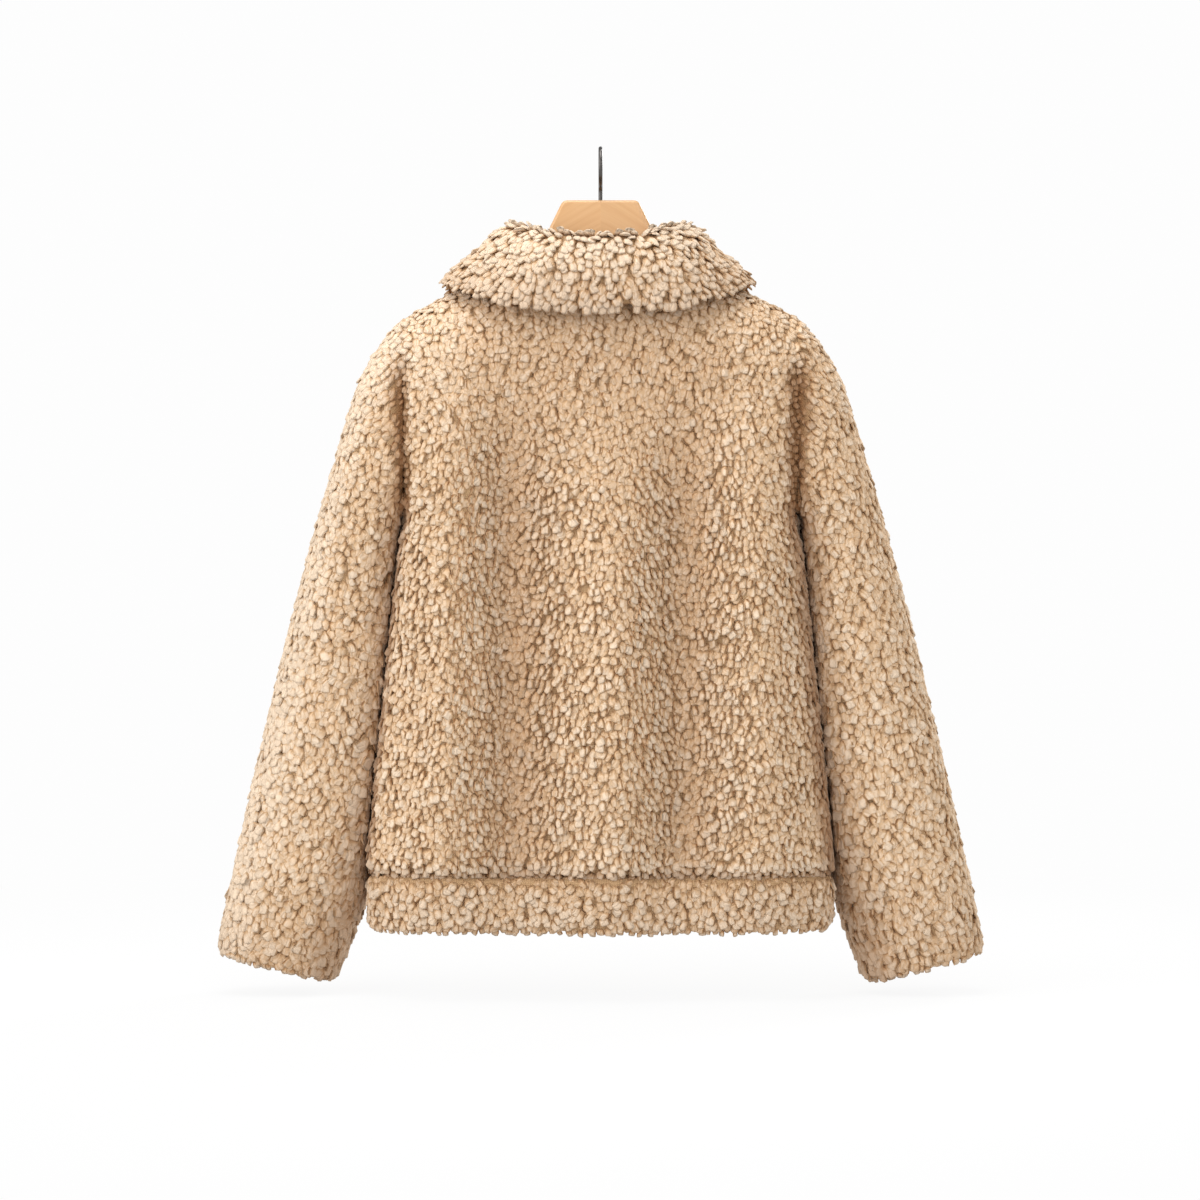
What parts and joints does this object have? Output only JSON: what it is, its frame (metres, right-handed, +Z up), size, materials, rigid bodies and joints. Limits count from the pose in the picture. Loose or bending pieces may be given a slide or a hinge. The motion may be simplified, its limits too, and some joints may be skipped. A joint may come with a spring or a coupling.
{
  "type": "fleece jacket on a hanger",
  "caption": "Short teddy fleece jacket with turned-down collar and waist band, zipped up and hanging on a wooden hanger with a wire hook.",
  "frame": {"origin": "inside top of the hanger's wire hook, where a rail carries it", "axes": "+Z up, +Y towards the jacket's back, +X towards the wearer's left"},
  "size_m": [0.776, 0.161, 0.8398],
  "materials": {
    "fleece": "deep curly pile, matt",
    "zip_tape": "woven tape, matt",
    "zip_metal": "satin",
    "beech": "satin lacquer",
    "steel_wire": "polished"
  },
  "bodies": {
    "jacket": {"back": "fleece", "front_left": "fleece", "front_right": "fleece", "sleeve_left": "fleece", "sleeve_right": "fleece", "collar": "fleece", "hem_band": "fleece", "zip_tape_left": "zip_tape", "zip_tape_right": "zip_tape", "zip_chain": "zip_metal", "zip_slider": "zip_metal", "hanger": "beech", "hook": "steel_wire"},
    "pull": {"zip_pull": "zip_metal"}
  },
  "joints": [
    {"name": "pull_swing", "type": "hinge", "parent": "jacket", "child": "pull", "pos_m": [0, -0.0484, -0.203], "axis": [-1, 0, 0], "range_deg": [0, 150]}
  ]
}
